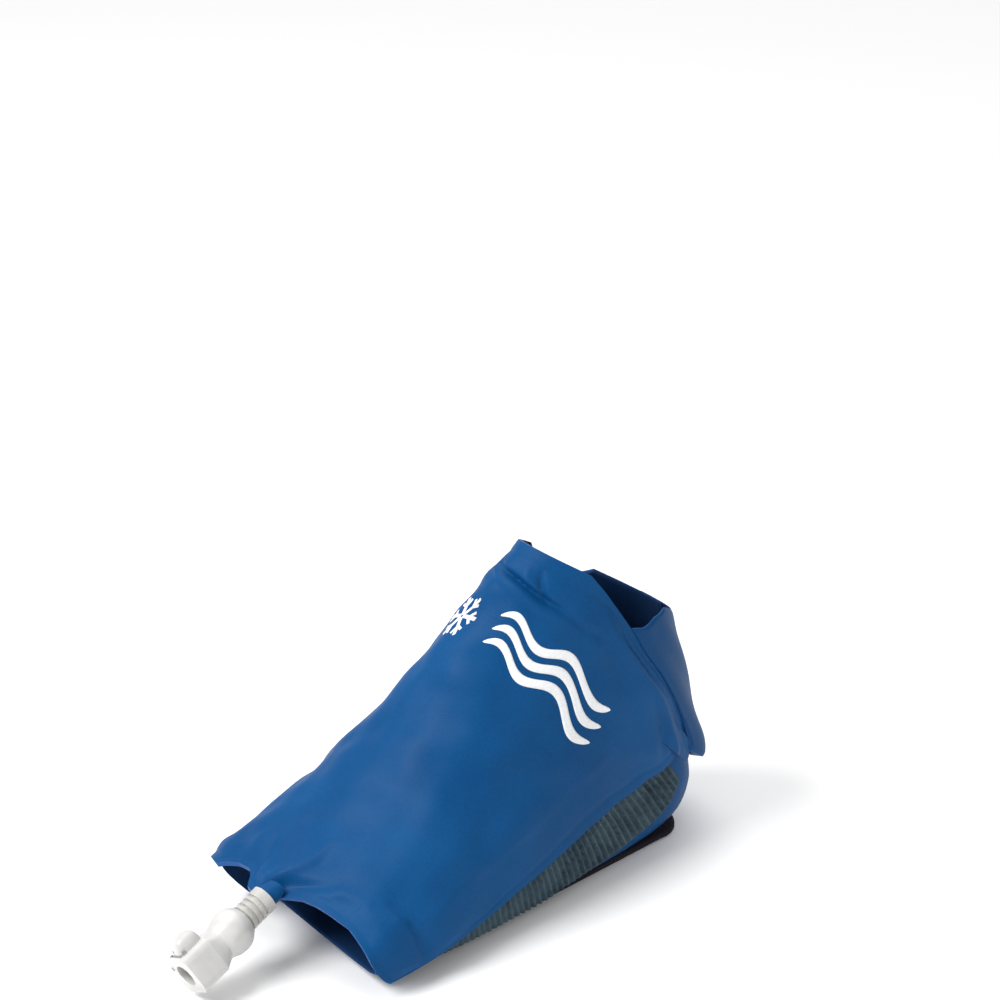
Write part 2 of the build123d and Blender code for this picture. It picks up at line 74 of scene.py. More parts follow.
def station(place):
    """The nine numbers of the form at each place, by a smooth curve through the table."""
    marks, rows = STATIONS[:, 0], STATIONS[:, 1:]
    before = np.maximum(np.arange(len(marks)) - 1, 0)
    after = np.minimum(np.arange(len(marks)) + 1, len(marks) - 1)
    slopes = (rows[after] - rows[before]) / (marks[after] - marks[before])[:, None]
    i = np.clip(np.searchsorted(marks, place, side="right") - 1, 0, len(marks) - 2)
    span = (marks[i + 1] - marks[i])[..., None]
    t = (place - marks[i])[..., None] / span
    return (
        (2 * t**3 - 3 * t**2 + 1) * rows[i] + (t**3 - 2 * t**2 + t) * span * slopes[i]
        + (3 * t**2 - 2 * t**3) * rows[i + 1] + (t**3 - t**2) * span * slopes[i + 1]
    )


def form(place, angle, depth=0.0, low_depth=None):
    """Points on the form in metres. Angle 0 is the ridge, +90 the little-toe side and
    180 the sole. Depth is below the surface, low_depth the same at the sole."""
    place, angle = np.broadcast_arrays(np.asarray(place, float), np.asarray(angle, float))
    low_depth = depth if low_depth is None else low_depth
    top_y, top_z, low_y, low_z, medial, lateral, shift, above, below = np.moveaxis(
        station(place), -1, 0)
    up_y, up_z = top_y - low_y, top_z - low_z
    height = np.hypot(up_y, up_z)
    s, c = np.sin(np.radians(angle)), np.cos(np.radians(angle))
    power = np.where(c >= 0, above, below)
    a = np.sign(s) * np.abs(s) ** (2 / power)
    b = np.sign(c) * np.abs(c) ** (2 / power)
    x = (np.where(s < 0, medial, lateral) - depth) * a + shift * (1 + b) / 2
    n = (height / 2 - np.where(c >= 0, depth, low_depth)) * b / height
    y = (top_y + low_y) / 2 + HEEL_OFFSET + n * up_y
    z = (top_z + low_z) / 2 + n * up_z
    return np.stack((x, y, z), axis=-1) * MM


def outward(place, angle):
    """Unit normals of the form."""
    along = form(place + 0.004, angle) - form(place - 0.004, angle)
    across = form(place, angle + 0.6) - form(place, angle - 0.6)
    normal = np.cross(across, along)
    return normal / np.linalg.norm(normal, axis=-1, keepdims=True)


def line(x, table):
    """Straight runs through (x, value) pairs."""
    return np.interp(x, [p[0] for p in table], [p[1] for p in table])


def smooth(x, low, high):
    t = np.clip((x - low) / (high - low), 0, 1)
    return t * t * (3 - 2 * t)


def side_fold(place):
    """Angle of the side flap's fold line at each place."""
    top_y, top_z, low_y, low_z = np.moveaxis(station(place), -1, 0)[:4]
    up_y, up_z = top_y - low_y, top_z - low_z
    height = np.hypot(up_y, up_z)
    up_y, up_z = up_y / height, up_z / height
    y, z = (top_y + low_y) / 2 + HEEL_OFFSET, (top_z + low_z) / 2
    (_, ay, az), (_, by, bz) = SIDE_HINGE
    t = ((ay - y) * up_z - (az - z) * up_y) / (-(by - ay) * up_z + (bz - az) * up_y)
    n = (ay + t * (by - ay) - y) * up_y + (az + t * (bz - az) - z) * up_z
    b = np.clip(2 * n / height, -1, 1)
    power = np.where(b >= 0, station(place)[..., 7], station(place)[..., 8])
    return np.degrees(np.arccos(np.sign(b) * np.abs(b) ** (power / 2)))


# Edges of the panels
def toe_line(angle):
    """Place of the toe edge at each angle."""
    return line(angle, (
        (-150, 0.0), (-100, -0.012), (-60, -0.03), (-36, -0.042), (-30, -0.03), (-19, -0.014),
        (-9, -0.010), (-5, -0.022), (-2, -0.042), (4, -0.047), (9, -0.043), (12, -0.024),
        (17, -0.008), (24, 0.01),
        (32, 0.02), (41, 0.026), (56, 0.033), (74, 0.027), (90, 0.022), (112, 0.036)))


def skirt_edge(place):
    return line(place, ((0.0, 115), (0.13, 113), (0.25, 106), (0.35, 102), (0.54, 99),
                        (0.615, 100), (0.685, 104), (0.755, 116)))


def weld_line(place):
    """Rear edge of the panel: up the weld line, the front of the notch, the ankle edge."""
    return line(place, ((0.755, 124), (0.765, 127), (0.785, 129), (0.81, 123), (0.835, 115),
                        (0.863, 104), (0.888, 92), (0.925, 82), (0.943, 76), (0.975, 65),
                        (1.0, 54)))


def wing_edge(place):
    """Front edge of a heel wing: the weld line, then the back of the notch and its peak."""
    return line(place, ((0.755, 126), (0.785, 126), (0.81, 120), (0.835, 112), (0.863, 102),
                        (0.888, 91), (0.925, 82), (0.94, 91), (0.973, 102), (1.0, 118)))


def pad_top(place):
    return skirt_edge(place) - 14


def pad_edge(place):
    return line(place, ((0.0, 140), (0.13, 134), (0.45, 127), (0.76, 124)))


def over_strap(place, extra):
    """Depth at the sole that keeps a layer the given amount above the strap."""
    top_y, top_z, low_y, low_z = np.moveaxis(station(place), -1, 0)[:4]
    return (3.4 + extra) * np.hypot(top_y - low_y, top_z - low_z) / (top_z - low_z)


def settle(points, place, angle):
    """Lowers and spreads the sole pieces towards the strap, as the heel's weight does."""
    share = (smooth(angle, 102, 132) * (1 - smooth(angle, 142, 176))
             * smooth(place, 0.08, 0.32) * (1 - 0.75 * smooth(place, 0.755, 0.80)))
    moved = points.copy()
    moved[..., 0] += (1.4 + 1.8 * smooth(place, 0.5, 0.7)) * MM * share
    moved[..., 1] += 2.0 * MM * share * smooth(place, 0.5, 0.7)
    moved[..., 2] -= 7.6 * MM * share
    moved[..., 2] = np.maximum(moved[..., 2], np.minimum(points[..., 2], 3.6 * MM))
    return moved


# ---------------------------------------------------------------- folds and creases
# points (place, angle), width mm, height mm (below 0 a groove)
CREASES = (
    (((-0.045, 3), (-0.01, 4), (0.03, 9), (0.075, 14), (0.14, 15)), 2.4, 2.1),
    (((-0.045, -3), (-0.01, -5), (0.03, -4), (0.07, -9)), 2.2, -1.3),
    (((-0.02, 11), (0.015, 15), (0.04, 22), (0.07, 32)), 2.4, -1.5),
    (((0.0, 22), (0.035, 27), (0.07, 36), (0.10, 50)), 3.0, 1.4),
    (((0.0, -16), (0.05, -18), (0.12, -12)), 4.0, 0.9),
    (((0.13, 62), (0.143, 76), (0.14, 90), (0.125, 100)), 2.4, -1.5),
    (((0.105, 68), (0.115, 80), (0.11, 92)), 4.5, 0.8),
    (((0.905, -14), (0.885, 2), (0.876, 18), (0.866, 30), (0.868, 42)), 2.2, -2.6),
    (((0.885, -12), (0.862, 4), (0.850, 20), (0.842, 34), (0.852, 50)), 3.0, 1.8),
    (((0.866, 34), (0.885, 30), (0.915, 26), (0.95, 24)), 1.8, -1.8),
    (((0.88, 22), (0.905, 17), (0.94, 14)), 3.0, 1.2),
    (((0.868, 42), (0.858, 56), (0.868, 68)), 2.6, -1.0),
    (((0.925, 74), (0.885, 82), (0.84, 100), (0.80, 114), (0.775, 122)), 1.5, -1.0),
    (((0.925, 66), (0.885, 74), (0.84, 92), (0.80, 105)), 2.2, 0.9),
    (((0.90, 60), (0.86, 66), (0.80, 80), (0.74, 90)), 4.0, -0.9),
    (((0.80, 96), (0.77, 103), (0.735, 106)), 2.0, -1.4),
    (((0.79, 106), (0.765, 112), (0.745, 113)), 1.8, 1.1),
    (((0.55, -78), (0.53, -62), (0.50, -48)), 4.0, -1.2),
    (((0.25, -80), (0.27, -62), (0.26, -46)), 4.0, -1.2),
    (((0.72, -70), (0.66, -58), (0.62, -44)), 4.5, -1.0),
    (((0.60, 60), (0.45, 66), (0.30, 64)), 9.0, -0.7),
    (((0.70, 20), (0.50, 22), (0.30, 14), (0.10, 6)), 11.0, 0.7),
    (((0.40, -120), (0.42, -100), (0.38, -86)), 4.5, -1.1),
    (((0.15, -125), (0.17, -105), (0.13, -90)), 4.0, -0.9),
    (((0.66, -130), (0.68, -110), (0.63, -96)), 4.0, -0.9),
)


def crease_height(place, angle):
    """Height of all the folds, in mm."""
    total = np.zeros(np.shape(place))
    x, y = place * LENGTH, angle * PER_DEGREE
    for points, width, height in CREASES:
        nearest = np.full(np.shape(place), 1e9)
        taper = np.zeros(np.shape(place))
        count = len(points) - 1
        for k in range(count):
            ax, ay = points[k][0] * LENGTH, points[k][1] * PER_DEGREE
            bx, by = points[k + 1][0] * LENGTH, points[k + 1][1] * PER_DEGREE
            run = (bx - ax) ** 2 + (by - ay) ** 2
            t = np.clip(((x - ax) * (bx - ax) + (y - ay) * (by - ay)) / run, 0, 1)
            far = np.hypot(x - ax - t * (bx - ax), y - ay - t * (by - ay))
            closer = far < nearest
            taper = np.where(closer, np.sin(np.pi * (0.12 + 0.76 * (k + t) / count)), taper)
            nearest = np.minimum(far, nearest)
        total += height * taper * np.exp(-(nearest / width) ** 2)
    return total


def ripple(place, angle):
    """Soft unevenness of a water-filled bladder, in mm."""
    x, y = place * LENGTH, angle * PER_DEGREE
    waves = ((38, 61, 0.4, 0.34), (57, -44, 1.9, 0.30), (-29, 33, 3.1, 0.20),
             (21, 90, 5.2, 0.16), (17, -24, 0.9, 0.12), (90, 15, 2.4, 0.12))
    return sum(size * np.sin(x * 2 * math.pi / wx + y * 2 * math.pi / wy + phase)
               for wx, wy, phase, size in waves)


# ---------------------------------------------------------------- materials
def node(tree, kind, **inputs):
    made = tree.nodes.new(kind)
    for name, value in inputs.items():
        if hasattr(value, "is_linked"):
            tree.links.new(value, made.inputs[name.replace("_", " ")])
        else:
            made.inputs[name.replace("_", " ")].default_value = value
    return made


def ramp(tree, factor, *stops):
    made = tree.nodes.new("ShaderNodeValToRGB")
    tree.links.new(factor, made.inputs["Fac"])
    for element in list(made.color_ramp.elements)[1:]:
        made.color_ramp.elements.remove(element)
    for k, (where, colour) in enumerate(stops):
        element = made.color_ramp.elements[0] if k == 0 else made.color_ramp.elements.new(where)
        element.position = where
        element.color = (*colour, 1)
    return made.outputs["Color"]


def grey(value):
    return (value, value, value)


def new_material(name):
    material = bpy.data.materials.new(name)
    material.use_nodes = True
    tree = material.node_tree
    shader = tree.nodes["Principled BSDF"]
    where = tree.nodes.new("ShaderNodeTexCoord").outputs["Object"]
    return material, tree, shader, where


def woven(name, colour, light, thread=0.45, rough=0.46, sheen=0.02, bump=0.25):
    """Plain-weave cloth, threads a given width in mm, from a UV map in metres."""
    material, tree, shader, where = new_material(name)
    uv = tree.nodes.new("ShaderNodeUVMap").outputs["UV"]
    split = node(tree, "ShaderNodeSeparateXYZ", Vector=uv)
    heights = []
    for axis in ("X", "Y"):
        scaled = node(tree, "ShaderNodeMath")
        scaled.operation = "MULTIPLY"
        tree.links.new(split.outputs[axis], scaled.inputs[0])
        scaled.inputs[1].default_value = math.pi / (thread * MM)
        wave = node(tree, "ShaderNodeMath")
        wave.operation = "SINE"
        tree.links.new(scaled.outputs[0], wave.inputs[0])
        heights.append(wave.outputs[0])
    over = node(tree, "ShaderNodeMath")
    over.operation = "MULTIPLY"
    tree.links.new(heights[0], over.inputs[0])
    tree.links.new(heights[1], over.inputs[1])
    broad = node(tree, "ShaderNodeTexNoise", Vector=where, Scale=22.0, Detail=3.0, Roughness=0.55)
    fine = node(tree, "ShaderNodeTexNoise", Vector=where, Scale=900.0, Detail=2.0)
    tint = ramp(tree, broad.outputs["Fac"], (0.325, colour), (0.725, light))
    speck = node(tree, "ShaderNodeMix")
    speck.data_type = "RGBA"
    speck.blend_type = "MULTIPLY"
    speck.inputs["Factor"].default_value = 0.35
    tree.links.new(tint, speck.inputs["A"])
    tree.links.new(ramp(tree, fine.outputs["Fac"], (0.3, grey(0.72)), (0.7, grey(1.0))),
                   speck.inputs["B"])
    tree.links.new(speck.outputs["Result"], shader.inputs["Base Color"])
    tree.links.new(ramp(tree, broad.outputs["Fac"], (0.3, grey(rough - 0.05)),
                        (0.75, grey(rough + 0.08))), shader.inputs["Roughness"])
    weave = node(tree, "ShaderNodeBump", Height=over.outputs[0], Strength=bump, Distance=0.0001)
    rubbed = node(tree, "ShaderNodeBump", Height=fine.outputs["Fac"], Strength=0.25,
                  Distance=0.0002, Normal=weave.outputs["Normal"])
    tree.links.new(rubbed.outputs["Normal"], shader.inputs["Normal"])
    shader.inputs["Sheen Weight"].default_value = sheen
    shader.inputs["Sheen Roughness"].default_value = 0.4
    shader.inputs["Specular IOR Level"].default_value = 0.10
    return material


def pile(name, colour, light):
    """Short loop pile: lighter loops over a dark ground."""
    material, tree, shader, where = new_material(name)
    loops = node(tree, "ShaderNodeTexVoronoi", Vector=where, Scale=1500.0)
    tufts = node(tree, "ShaderNodeTexNoise", Vector=where, Scale=420.0, Detail=4.0)
    dust = node(tree, "ShaderNodeTexNoise", Vector=where, Scale=60.0, Detail=3.0)
    mixed = node(tree, "ShaderNodeMath")
    mixed.operation = "MULTIPLY_ADD"
    tree.links.new(tufts.outputs["Fac"], mixed.inputs[0])
    mixed.inputs[1].default_value = 0.6
    tree.links.new(dust.outputs["Fac"], mixed.inputs[2])
    tree.links.new(ramp(tree, mixed.outputs[0], (0.55, colour), (0.95, light)),
                   shader.inputs["Base Color"])
    bump = node(tree, "ShaderNodeBump", Height=loops.outputs["Distance"], Strength=0.7,
                Distance=0.0004)
    tree.links.new(bump.outputs["Normal"], shader.inputs["Normal"])
    shader.inputs["Roughness"].default_value = 0.95
    shader.inputs["Sheen Weight"].default_value = 0.04
    shader.inputs["Sheen Roughness"].default_value = 0.6
    shader.inputs["Specular IOR Level"].default_value = 0.15
    return material


def plastic(name, colour, shade, rough=0.3, coat=0.3, subsurface=0.15, clear=0.0):
    """Moulded plastic: faint mottling, fine texture and small scuffs."""
    material, tree, shader, where = new_material(name)
    broad = node(tree, "ShaderNodeTexNoise", Vector=where, Scale=90.0, Detail=4.0)
    fine = node(tree, "ShaderNodeTexNoise", Vector=where, Scale=2600.0, Detail=2.0)
    tree.links.new(ramp(tree, broad.outputs["Fac"], (0.3, shade), (0.62, colour)),
                   shader.inputs["Base Color"])
    tree.links.new(ramp(tree, broad.outputs["Fac"], (0.3, grey(rough + 0.12)),
                        (0.7, grey(rough - 0.04))), shader.inputs["Roughness"])
    bump = node(tree, "ShaderNodeBump", Height=fine.outputs["Fac"], Strength=0.12, Distance=0.0001)
    tree.links.new(bump.outputs["Normal"], shader.inputs["Normal"])
    shader.inputs["Coat Weight"].default_value = coat
    shader.inputs["Coat Roughness"].default_value = 0.15
    shader.inputs["Subsurface Weight"].default_value = subsurface
    shader.inputs["Subsurface Radius"].default_value = (0.004, 0.004, 0.003)
    shader.inputs["Transmission Weight"].default_value = clear
    return material


def metal(name, colour, dark):
    """Brushed metal with fine lines."""
    rough = 0.32
    material, tree, shader, where = new_material(name)
    stretched = node(tree, "ShaderNodeMapping", Vector=where, Scale=(2600.0, 120.0, 120.0))
    lines = node(tree, "ShaderNodeTexNoise", Vector=stretched.outputs["Vector"], Scale=1.0,
                 Detail=4.0)
    tree.links.new(ramp(tree, lines.outputs["Fac"], (0.3, dark), (0.7, colour)),
                   shader.inputs["Base Color"])
    tree.links.new(ramp(tree, lines.outputs["Fac"], (0.3, grey(rough + 0.15)),
                        (0.7, grey(rough))), shader.inputs["Roughness"])
    shader.inputs["Metallic"].default_value = 1.0
    return material


nylon = woven("coated_nylon", (0.001, 0.054, 0.175), (0.003, 0.074, 0.225), sheen=0.0)
lining = woven("nylon_lining", (0.006, 0.030, 0.095), (0.010, 0.042, 0.13), rough=0.6)
cut_edge = woven("cut_edge", (0.018, 0.078, 0.26), (0.04, 0.11, 0.33), rough=0.5, sheen=0.05)
wing_nylon = woven("wing_nylon", (0.001, 0.046, 0.15), (0.003, 0.062, 0.19), rough=0.5, sheen=0.0)
pad_pile = pile("ribbed_pile", (0.010, 0.022, 0.038), (0.052, 0.092, 0.120))
# lighter pile for the rib crests: a painted highlight where the crests catch the light
crest_highlight_pile = pile("ribbed_pile_painted_crest_highlight", (0.022, 0.042, 0.058), (0.072, 0.112, 0.130))
hook = pile("hook_tape", (0.008, 0.012, 0.02), (0.03, 0.04, 0.06))
webbing = woven("dark_webbing", (0.010, 0.008, 0.014), (0.026, 0.022, 0.032), thread=0.9,
                rough=0.7, bump=0.6)
ink = woven("white_ink", (0.80, 0.81, 0.82), (0.90, 0.91, 0.92), rough=0.45, sheen=0.1, bump=0.1)
white = plastic("white_acetal", (0.60, 0.595, 0.585), (0.50, 0.495, 0.485))
milky = plastic("milky_collar", (0.60, 0.59, 0.57), (0.46, 0.45, 0.42), rough=0.25,
                subsurface=0.3, clear=0.12)
tube = plastic("clear_tube", (0.80, 0.80, 0.76), (0.66, 0.66, 0.62), rough=0.2, clear=0.5)
plate_steel = metal("brushed_plate", (0.62, 0.61, 0.60), (0.22, 0.21, 0.21))
pin_metal = metal("pin_metal", (0.42, 0.40, 0.37), (0.15, 0.14, 0.13))
spring_wire = metal("spring_wire", (0.6, 0.6, 0.6), (0.3, 0.3, 0.3))
rubber = plastic("seal_rubber", (0.02, 0.02, 0.022), (0.035, 0.034, 0.034), rough=0.6, coat=0.0,
                 subsurface=0.0)


# ---------------------------------------------------------------- mesh building
def make_mesh(name, points, faces, materials, face_material=None, uv=None):
    mesh = bpy.data.meshes.new(name)
    mesh.from_pydata([tuple(p) for p in points], [], faces)
    for material in materials:
        mesh.materials.append(material)
    if face_material is not None:
        mesh.polygons.foreach_set("material_index", face_material)
    mesh.polygons.foreach_set("use_smooth", [True] * len(faces))
    if uv is not None:
        layer = mesh.uv_layers.new(name="cloth")
        corner = np.array([v for f in faces for v in f])
        layer.data.foreach_set("uv", np.asarray(uv)[corner].ravel())
    mesh.validate()
    mesh.update()
    thing = bpy.data.objects.new(name, mesh)
    bpy.context.scene.collection.objects.link(thing)
    return thing


def shell(name, outer, inner, materials, kept=None, uv=None):
    """Closed sheet between two grids of points. Materials are for the outer face, the
    inner face and the cut edge. kept marks the cells of the grid that exist."""
    rows, cols = outer.shape[:2]
    if kept is None:
        kept = np.ones((rows - 1, cols - 1), bool)
    flat = rows * cols
    faces, slots = [], []
    directed = {}
    for i, j in zip(*np.nonzero(kept)):
        i, j = int(i), int(j)
        a, b, c, d = i * cols + j, i * cols + j + 1, (i + 1) * cols + j + 1, (i + 1) * cols + j
        faces.append((a, b, c, d))
        slots.append(0)
        faces.append((flat + d, flat + c, flat + b, flat + a))
        slots.append(1)
        for p, q in ((a, b), (b, c), (c, d), (d, a)):
            directed[(p, q)] = True
    rim = [(p, q) for p, q in directed if (q, p) not in directed]
    points = np.concatenate((outer.reshape(-1, 3), inner.reshape(-1, 3)))
    middle = {}
    extra, extra_from = [], []
    for p, q in rim:
        for k in (p, q):
            if k not in middle:
                middle[k] = 2 * flat + len(extra)
                extra.append((points[k] + points[flat + k]) / 2)
                extra_from.append(k)
    for p, q in rim:
        faces.append((q, p, middle[p], middle[q]))
        faces.append((middle[q], middle[p], flat + p, flat + q))
        slots += [2, 2]
    points = np.concatenate((points, np.array(extra)))
    used = sorted({k for f in faces for k in f})
    renumber = {k: n for n, k in enumerate(used)}
    faces = [tuple(renumber[k] for k in f) for f in faces]
    if uv is None:
        u, v = np.meshgrid(np.arange(cols), np.arange(rows))
        uv = np.stack((u, v), axis=-1) * MM
    flat_uv = uv.reshape(-1, 2)
    all_uv = np.concatenate((flat_uv, flat_uv, flat_uv[extra_from]))
    return make_mesh(name, points[used], faces, materials, slots, all_uv[used])


def sharpen(thing, degrees):
    """Marks the edges sharper than this, so that flat faces and rims shade cleanly."""
    thing.data.set_sharp_from_angle(angle=math.radians(degrees))


def cloth_uv(place, angle):
    return np.stack((angle * PER_DEGREE, place * LENGTH), axis=-1) * MM


# ---------------------------------------------------------------- panel and side flap
FRONT_ROWS, REAR_ROWS = 170, 56
TOP_COLS, SIDE_COLS = 150, 56


def panel_grid():
    """Place and angle at each point of the grid that the panel and the side flap share."""
    row = np.arange(FRONT_ROWS + REAR_ROWS + 1)[:, None].astype(float)
    col = np.arange(TOP_COLS + SIDE_COLS + 1)[None, :].astype(float)
    share = np.where(row <= FRONT_ROWS, row / FRONT_ROWS, 0)
    rear = np.clip((row - FRONT_ROWS) / REAR_ROWS, 0, 1)
    place = np.broadcast_to(np.where(row <= FRONT_ROWS, SLIT * share,
                                     SLIT + (1 - SLIT) * rear), (row.size, col.size)).copy()
    for _ in range(6):
        ahead = place <= SLIT
        fold = np.where(ahead, side_fold(np.minimum(place, SLIT)),
                        side_fold(np.array(SLIT)) + (36 - side_fold(np.array(SLIT)))
                        * (place - SLIT) / (1 - SLIT))
        medial = np.where(ahead, MEDIAL_EDGE, -weld_line(place))
        lateral = np.where(row < FRONT_ROWS, skirt_edge(place), weld_line(place))
        angle = np.where(col <= TOP_COLS, medial + (fold - medial) * col / TOP_COLS,
                         fold + (lateral - fold) * (col - TOP_COLS) / SIDE_COLS)
        toe = toe_line(angle)
        place = np.where(row <= FRONT_ROWS, toe + (SLIT - toe) * share, place)
    return place, angle


place, angle = panel_grid()
flap_place, flap_angle = place.copy(), angle.copy()
# on the slit itself the side flap ends at its skirt, and the panel goes on to the weld line
flap_fold = side_fold(np.array(SLIT))
flap_share = np.clip((np.arange(TOP_COLS + SIDE_COLS + 1) - TOP_COLS) / SIDE_COLS, 0, 1)
flap_angle[FRONT_ROWS] = np.where(flap_share > 0,
                                  flap_fold + (skirt_edge(SLIT) - flap_fold) * flap_share,
                                  angle[FRONT_ROWS])


def puffed(place, angle, edge, full):
    """Outer and inner points. Edge is the distance in mm from the nearest welded edge."""
    puff = smooth(edge, 1.2, 11.0)
    groove = 0.28 * np.exp(-((edge - 3.0) / 0.7) ** 2)
    lift = (ripple(place, angle) + crease_height(place, angle)) * smooth(edge, 0.0, 8.0)
    lift = lift - WELD * (1 - puff) - groove
    outer = form(place, angle) + outward(place, angle) * (lift * MM)[..., None]
    inner_depth = full - WELD * (1 - puff) * (full / BLADDER)
    inner = form(place, angle, inner_depth)
    return outer, inner


def near(*distances):
    """Smallest of several distances, with soft corners."""
    soft = sum(np.exp(-np.maximum(d, 0) / 1.6) for d in distances)
    return np.maximum(-1.6 * np.log(soft), 0)


FAR = 99                      # mm, beyond the reach of any welded edge
ANKLE_RUN = 62.0              # mm for one unit of place, near the ankle edge
toe_far = (place - toe_line(angle)) * LENGTH
ankle_far = (1.0 - place) * ANKLE_RUN
rear_far = (weld_line(place) - angle) * 0.6
rear_far_medial = (weld_line(place) + angle) * 0.6
behind = place >= SLIT
ahead_of_weld = FAR * (1 - smooth(place, SLIT, 0.80))
panel_edge = near(
    toe_far,
    np.where(behind, np.minimum(ankle_far, FAR), FAR),
    np.where(place > 0.80, rear_far, ahead_of_weld + rear_far),
    np.where(place > 0.80, rear_far_medial, ahead_of_weld + rear_far_medial),
    (angle - MEDIAL_EDGE) * 0.5 + 60 * smooth(place, 0.70, 0.77),
)
# the flap's own lower edge, faded out at the slit so that both sides match there
skirt_far = (skirt_edge(flap_place) - flap_angle) * 0.72
flap_edge = near((flap_place - toe_line(flap_angle)) * LENGTH,
                 np.where(flap_angle > flap_fold - 40, skirt_far, FAR))

on_flap = np.zeros((FRONT_ROWS + REAR_ROWS, TOP_COLS + SIDE_COLS), bool)
on_flap[:FRONT_ROWS, TOP_COLS:] = True

panel_outer, panel_inner = puffed(place, angle, panel_edge, BLADDER)
panel_inner_flap = FLAP + (BLADDER - FLAP) * (1 - smooth(flap_angle - side_fold(
    np.minimum(flap_place, SLIT)), 0, 8))
flap_outer, flap_inner = puffed(flap_place, flap_angle, flap_edge, panel_inner_flap)

panel = shell("instep_bladder", panel_outer, panel_inner, (nylon, lining, cut_edge), ~on_flap,
              cloth_uv(place, angle))
sharpen(panel, 60)
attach(panel, "wrap")
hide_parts("bladder_outer_ply", "bladder_inner_ply")

flap = shell("side_flap_bladder", flap_outer, flap_inner, (nylon, lining, cut_edge), on_flap,
             cloth_uv(flap_place, flap_angle))
sharpen(flap, 60)
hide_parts("side_flap_outer_ply", "side_flap_inner_ply")
hinge_a, hinge_b = (Vector(p) * MM for p in SIDE_HINGE)
fold_axis = (hinge_b - hinge_a).normalized()
fold_down = Vector((0.8, 0.24, -0.55))
fold_down = (fold_down - fold_axis * fold_down.dot(fold_axis)).normalized()
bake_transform(flap)


def strip(name, places, edges, layers, materials, cols, bump=None, edge_round=1.2, shape=None):
    """Sheet between two layers. Edges and layers are functions of place; each layer is
    (depth, depth at the sole). bump is a height in mm at each place and angle."""
    u = np.asarray(places, float)[:, None] * np.ones((1, cols + 1))
    start, end = edges(u)
    share = np.arange(cols + 1)[None, :] / cols
    v = start + (end - start) * share
    (d0, l0), (d1, l1) = layers(u)
    rim = np.minimum.reduce([
        np.abs(v - start) * 0.7, np.abs(end - v) * 0.7,
        (u - u[0, 0]) * LENGTH, (u[-1, 0] - u) * LENGTH,
    ])
    soft = (1 - smooth(rim, 0, edge_round)) * 0.5
    thick, low_thick = (d1 - d0) * soft, (l1 - l0) * soft
    outer = form(u, v, d0 + thick * 0.8, l0 + low_thick * 0.8)
    if bump is not None:
        outer = outer + outward(u, v) * (bump(u, v, rim) * MM)[..., None]
    inner = form(u, v, d1 - thick * 0.8, l1 - low_thick * 0.8)
    if shape is not None:
        outer, inner = shape(outer, u, v), shape(inner, u, v)
    return shell(name, outer, inner, materials, uv=cloth_uv(u, v))


def steps(first, last, count):
    return np.linspace(first, last, count)


# ---------------------------------------------------------------- hook tape in the side flap
hook_tape = strip(
    "side_flap_hook_tape", steps(0.10, 0.70, 60),
    lambda u: (skirt_edge(u) - 12, skirt_edge(u)),
    lambda u: ((4.3, 1.35), (4.9, 1.5)), (hook, hook, hook), 10)
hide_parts("side_flap_hook")
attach(hook_tape, "side_flap")

# ---------------------------------------------------------------- sole flap and loop pad
RIB_PITCH = 2.4               # mm of LENGTH, about 2.9 mm along the middle of the pad


def ribs(u, v, rim):
    """Ribs across the loop pad, taller towards the heel."""
    wave = np.cos(2 * math.pi * u * LENGTH / RIB_PITCH + v * 0.05)
    height = 0.25 + 0.55 * smooth(u, 0.2, 0.5)
    return height * (np.abs(wave) ** 1.4 * np.sign(wave)) * smooth(rim, 0.3, 2.0)


sole_sheet = strip(
    "sole_flap_sheet", steps(0.03, 0.80, 130),
    lambda u: (pad_top(u) - 3, 210 + 0 * u),
    lambda u: ((7.8, over_strap(u, 0)), (9.0, over_strap(u, 1.2))),
    (nylon, lining, cut_edge), 110, shape=settle)
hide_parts("sole_flap")
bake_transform(sole_sheet)

loop_pad = strip(
    "side_loop_pad_ribbed", steps(0.08, 0.74, 620),
    lambda u: (pad_top(u), pad_edge(u)),
    lambda u: ((6.0, over_strap(u, -1.8)), (7.5, over_strap(u, -0.3))),
    (pad_pile, wing_nylon, pad_pile), 34, ribs, shape=settle)
# faces on the rib crests take the lighter pile, a painted highlight along each crest
loop_pad.data.materials.append(crest_highlight_pile)
pad_uv = loop_pad.data.uv_layers["cloth"].data
for face in loop_pad.data.polygons:
    across_pad, along_pad = pad_uv[face.loop_start].uv / MM
    phase = 2 * math.pi * along_pad / RIB_PITCH + across_pad / PER_DEGREE * 0.05
    if face.material_index == 0 and math.cos(phase) > 0.45:
        face.material_index = 3
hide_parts("side_loop_pad")
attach(loop_pad, "sole")

# ---------------------------------------------------------------- heel wings
WING_ROWS = steps(0.774, 1.0, 64)


def wing_relief(u, v, rim):
    """Soft waves of the loose wing, and the corner that stands away from the heel."""
    corner = 4.6 * np.exp(-((u - 0.785) / 0.04) ** 2) * smooth(np.abs(v), 112, 146)
    return corner + 0.3 * np.sin(u * 60 + v * 0.11) * smooth(rim, 1, 8)


lateral_wing = strip(
    "lateral_heel_wing_sheet", WING_ROWS,
    lambda u: (wing_edge(u), 198 + 0 * u),
    lambda u: ((0.6, 0.6), (2.2, 2.2)), (wing_nylon, lining, cut_edge), 90,
    wing_relief)
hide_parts("lateral_heel_wing")
medial_wing = strip(
    "medial_heel_wing_sheet", WING_ROWS,
    lambda u: (-wing_edge(u), -198 + 0 * u),
    lambda u: ((0.6 + 3.4 * smooth(wing_edge(u), 90, 150), 4.0), (5.6, 5.6)),
    (wing_nylon, lining, cut_edge), 90)
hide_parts("medial_heel_wing")
for wing, body, side in ((lateral_wing, "lateral_wing", 1), (medial_wing, "medial_wing", -1)):
    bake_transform(wing)

